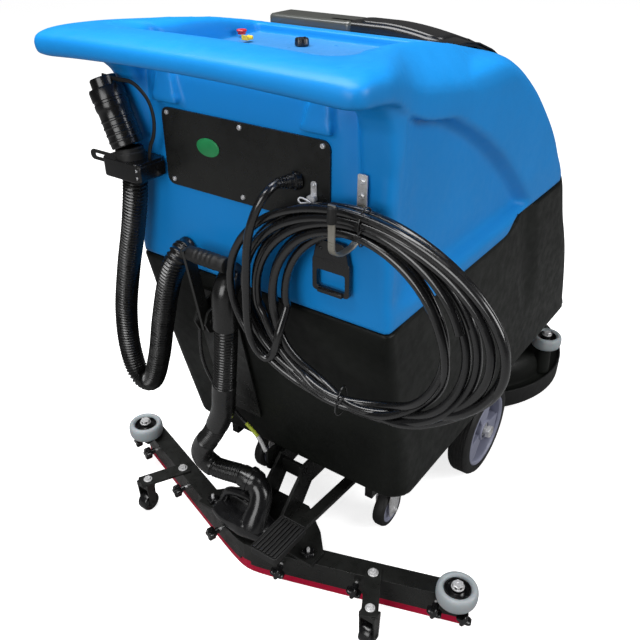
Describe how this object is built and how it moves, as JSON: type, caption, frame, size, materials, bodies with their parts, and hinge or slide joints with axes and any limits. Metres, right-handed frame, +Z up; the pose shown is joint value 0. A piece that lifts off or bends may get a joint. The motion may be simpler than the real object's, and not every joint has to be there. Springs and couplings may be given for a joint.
{
  "type": "walk-behind floor scrubber-dryer",
  "caption": "Walk-behind floor scrubber-dryer: blue tank with loop handle over a black tank, round brush deck in front, V-shaped squeegee on rollers, hoses and a coiled power cord behind.",
  "frame": {"origin": "on the floor, under the middle of the machine's length and width (the main wheels' axle is 26.25 mm behind it)", "axes": "+X the machine's right side, +Y the direction of travel, +Z up"},
  "size_m": [0.802, 1.1985, 0.924],
  "materials": {
    "blue_polyethylene": "rotomoulded, soft gloss",
    "black_polyethylene": "rotomoulded, matt",
    "black_steel": "powder coat",
    "zinc_steel": "zinc plated",
    "black_rubber": "matt",
    "tyre_rubber": "matt",
    "red_rubber": "satin",
    "black_moulding": "gloss",
    "charcoal_lid": "gloss",
    "grey_roller": "satin",
    "hub_grey": "satin",
    "panel_blue": "satin",
    "white_plastic": "gloss",
    "yellow_plastic": "gloss",
    "motor_casing": "cast",
    "blue_bristle": "nylon bristle"
  },
  "bodies": {
    "machine": {"chassis_frame": "black_steel", "axle": "zinc_steel", "solution_tank": "black_polyethylene", "recovery_tank": "blue_polyethylene", "suction_motor": "motor_casing", "rear_cover": "black_steel", "control_box": "black_steel", "control_panel": "panel_blue", "cord_hook": "zinc_steel", "cord_gland": "black_moulding", "power_cord": "black_moulding", "drain_hose": "black_rubber", "hose_clip": "black_steel", "suction_hose": "black_rubber", "lever_bracket": "black_steel", "lift_cable": "zinc_steel", "water_filter": "white_plastic", "water_valve": "black_steel"},
    "lid": {"tank_lid": "charcoal_lid", "lid_seal": "black_rubber"},
    "fill_cap": {"fill_cap": "black_moulding"},
    "power_button": {"power_button": "white_plastic"},
    "run_switch": {"run_switch": "yellow_plastic"},
    "water_knob": {"water_knob": "black_moulding"},
    "latch": {"latch_handle": "black_moulding"},
    "drain_cap": {"drain_cap": "black_moulding"},
    "lift_lever": {"lift_lever": "black_steel", "lever_grip": "black_moulding"},
    "squeegee": {"squeegee_arm": "black_steel", "squeegee_bar": "black_steel", "blade_rear": "red_rubber", "blade_front": "red_rubber", "nozzle": "black_moulding", "support_bracket_R": "black_steel", "support_bracket_L": "black_steel"},
    "side_roller_R": {"side_roller_R": "grey_roller"},
    "side_roller_L": {"side_roller_L": "grey_roller"},
    "support_wheel_R": {"support_wheel_R": "black_rubber"},
    "support_wheel_L": {"support_wheel_L": "black_rubber"},
    "mount_knob_R": {"mount_knob_R": "black_moulding"},
    "mount_knob_L": {"mount_knob_L": "black_moulding"},
    "pedal": {"pedal_lever": "black_steel", "pedal_pad": "black_rubber"},
    "deck_arm": {"deck_arm": "black_steel"},
    "deck": {"deck_housing": "black_polyethylene", "deck_skirt": "black_rubber", "brush_motor": "motor_casing"},
    "brush": {"brush_driver": "black_steel", "brush": "blue_bristle"},
    "bumper_roller_R": {"bumper_roller_R": "grey_roller"},
    "bumper_roller_L": {"bumper_roller_L": "grey_roller"},
    "wheel_R": {"tyre_R": "tyre_rubber", "wheel_hub_R": "hub_grey"},
    "wheel_L": {"tyre_L": "tyre_rubber", "wheel_hub_L": "hub_grey"},
    "caster_fork_R": {"caster_fork_R": "zinc_steel"},
    "caster_fork_L": {"caster_fork_L": "zinc_steel"},
    "caster_wheel_R": {"caster_wheel_R": "black_rubber"},
    "caster_wheel_L": {"caster_wheel_L": "black_rubber"}
  },
  "joints": [
    {"name": "lid_open", "type": "hinge", "parent": "machine", "child": "lid", "pos_m": [0, 0.06975, 0.7945], "axis": [-1, 0, 0], "range_deg": [0, 75]},
    {"name": "fill_cap_turn", "type": "hinge", "parent": "machine", "child": "fill_cap", "pos_m": [0, 0.37755, 0.4655], "axis": [0, 0.8679, 0.4968], "range_deg": [0, 90]},
    {"name": "power_press", "type": "slide", "parent": "machine", "child": "power_button", "axis": [0, 0, -1], "range_m": [0, 0.003], "stiffness_N_per_m": 400},
    {"name": "run_switch_rock", "type": "hinge", "parent": "machine", "child": "run_switch", "pos_m": [-0.115, -0.32625, 0.89], "axis": [1, 0, 0], "range_deg": [-12, 12]},
    {"name": "water_knob_turn", "type": "hinge", "parent": "machine", "child": "water_knob", "pos_m": [-0.03, -0.30325, 0.8845], "axis": [0, 0, 1], "range_deg": [0, 270]},
    {"name": "latch_lift", "type": "hinge", "parent": "machine", "child": "latch", "pos_m": [0.154, -0.48775, 0.684], "axis": [-1, 0, 0], "range_deg": [0, 45]},
    {"name": "drain_cap_twist", "type": "hinge", "parent": "machine", "child": "drain_cap", "pos_m": [-0.194, -0.51325, 0.7585], "axis": [-0.3714, 0, 0.9285], "range_deg": [0, 60]},
    {"name": "lift_lever_turn", "type": "hinge", "parent": "machine", "child": "lift_lever", "pos_m": [-0.085, -0.49625, 0.49], "axis": [1, 0, 0], "range_deg": [0, 60]},
    {"name": "squeegee_lift", "type": "hinge", "parent": "machine", "child": "squeegee", "pos_m": [0, -0.26625, 0.15], "axis": [-1, 0, 0], "range_deg": [0, 4.5]},
    {"name": "side_roller_R_spin", "type": "hinge", "parent": "squeegee", "child": "side_roller_R", "pos_m": [0.366, -0.42625, 0.0745], "axis": [0, 0, 1], "continuous": true},
    {"name": "side_roller_L_spin", "type": "hinge", "parent": "squeegee", "child": "side_roller_L", "pos_m": [-0.366, -0.42625, 0.0745], "axis": [0, 0, 1], "continuous": true},
    {"name": "support_wheel_R_spin", "type": "hinge", "parent": "squeegee", "child": "support_wheel_R", "pos_m": [0.262, -0.52825, 0.0205], "axis": [1, 0, 0], "continuous": true},
    {"name": "support_wheel_L_spin", "type": "hinge", "parent": "squeegee", "child": "support_wheel_L", "pos_m": [-0.262, -0.52825, 0.0205], "axis": [1, 0, 0], "continuous": true},
    {"name": "mount_knob_R_turn", "type": "hinge", "parent": "squeegee", "child": "mount_knob_R", "pos_m": [0.1125, -0.49325, 0.0756], "axis": [0, 0, 1], "range_deg": [0, 330]},
    {"name": "mount_knob_L_turn", "type": "hinge", "parent": "squeegee", "child": "mount_knob_L", "pos_m": [-0.1125, -0.49325, 0.0756], "axis": [0, 0, 1], "range_deg": [0, 330]},
    {"name": "pedal_press", "type": "hinge", "parent": "machine", "child": "pedal", "pos_m": [0.095, -0.19625, 0.13], "axis": [1, 0, 0], "range_deg": [0, 4.5]},
    {"name": "deck_arm_lift", "type": "hinge", "parent": "machine", "child": "deck_arm", "pos_m": [0, 0.06875, 0.15], "axis": [1, 0, 0], "range_deg": [0, 14.5]},
    {"name": "deck_level", "type": "hinge", "parent": "deck_arm", "child": "deck", "pos_m": [0, 0.17375, 0.15], "axis": [-1, 0, 0], "range_deg": [0, 14.5]},
    {"name": "brush_spin", "type": "hinge", "parent": "deck", "child": "brush", "pos_m": [0, 0.34475, 0.06], "axis": [0, 0, 1], "continuous": true},
    {"name": "bumper_roller_R_spin", "type": "hinge", "parent": "deck", "child": "bumper_roller_R", "pos_m": [0.228, 0.32375, 0.128], "axis": [0, 0, 1], "continuous": true},
    {"name": "bumper_roller_L_spin", "type": "hinge", "parent": "deck", "child": "bumper_roller_L", "pos_m": [-0.228, 0.32375, 0.128], "axis": [0, 0, 1], "continuous": true},
    {"name": "wheel_R_spin", "type": "hinge", "parent": "machine", "child": "wheel_R", "pos_m": [0.192, -0.02625, 0.1], "axis": [1, 0, 0], "continuous": true},
    {"name": "wheel_L_spin", "type": "hinge", "parent": "machine", "child": "wheel_L", "pos_m": [-0.192, -0.02625, 0.1], "axis": [1, 0, 0], "continuous": true},
    {"name": "caster_R_swivel", "type": "hinge", "parent": "machine", "child": "caster_fork_R", "pos_m": [0.148, -0.25125, 0.1035], "axis": [0, 0, 1], "continuous": true},
    {"name": "caster_R_spin", "type": "hinge", "parent": "caster_fork_R", "child": "caster_wheel_R", "pos_m": [0.148, -0.28125, 0.0395], "axis": [1, 0, 0], "continuous": true},
    {"name": "caster_L_swivel", "type": "hinge", "parent": "machine", "child": "caster_fork_L", "pos_m": [-0.148, -0.25125, 0.1035], "axis": [0, 0, 1], "continuous": true},
    {"name": "caster_L_spin", "type": "hinge", "parent": "caster_fork_L", "child": "caster_wheel_L", "pos_m": [-0.148, -0.28125, 0.0395], "axis": [1, 0, 0], "continuous": true}
  ],
  "couplings": [
    {"joint": "squeegee_lift", "follows": "lift_lever_turn", "ratio": 0.075},
    {"joint": "deck_arm_lift", "follows": "pedal_press", "ratio": 3.2},
    {"joint": "deck_level", "follows": "pedal_press", "ratio": 3.2}
  ]
}
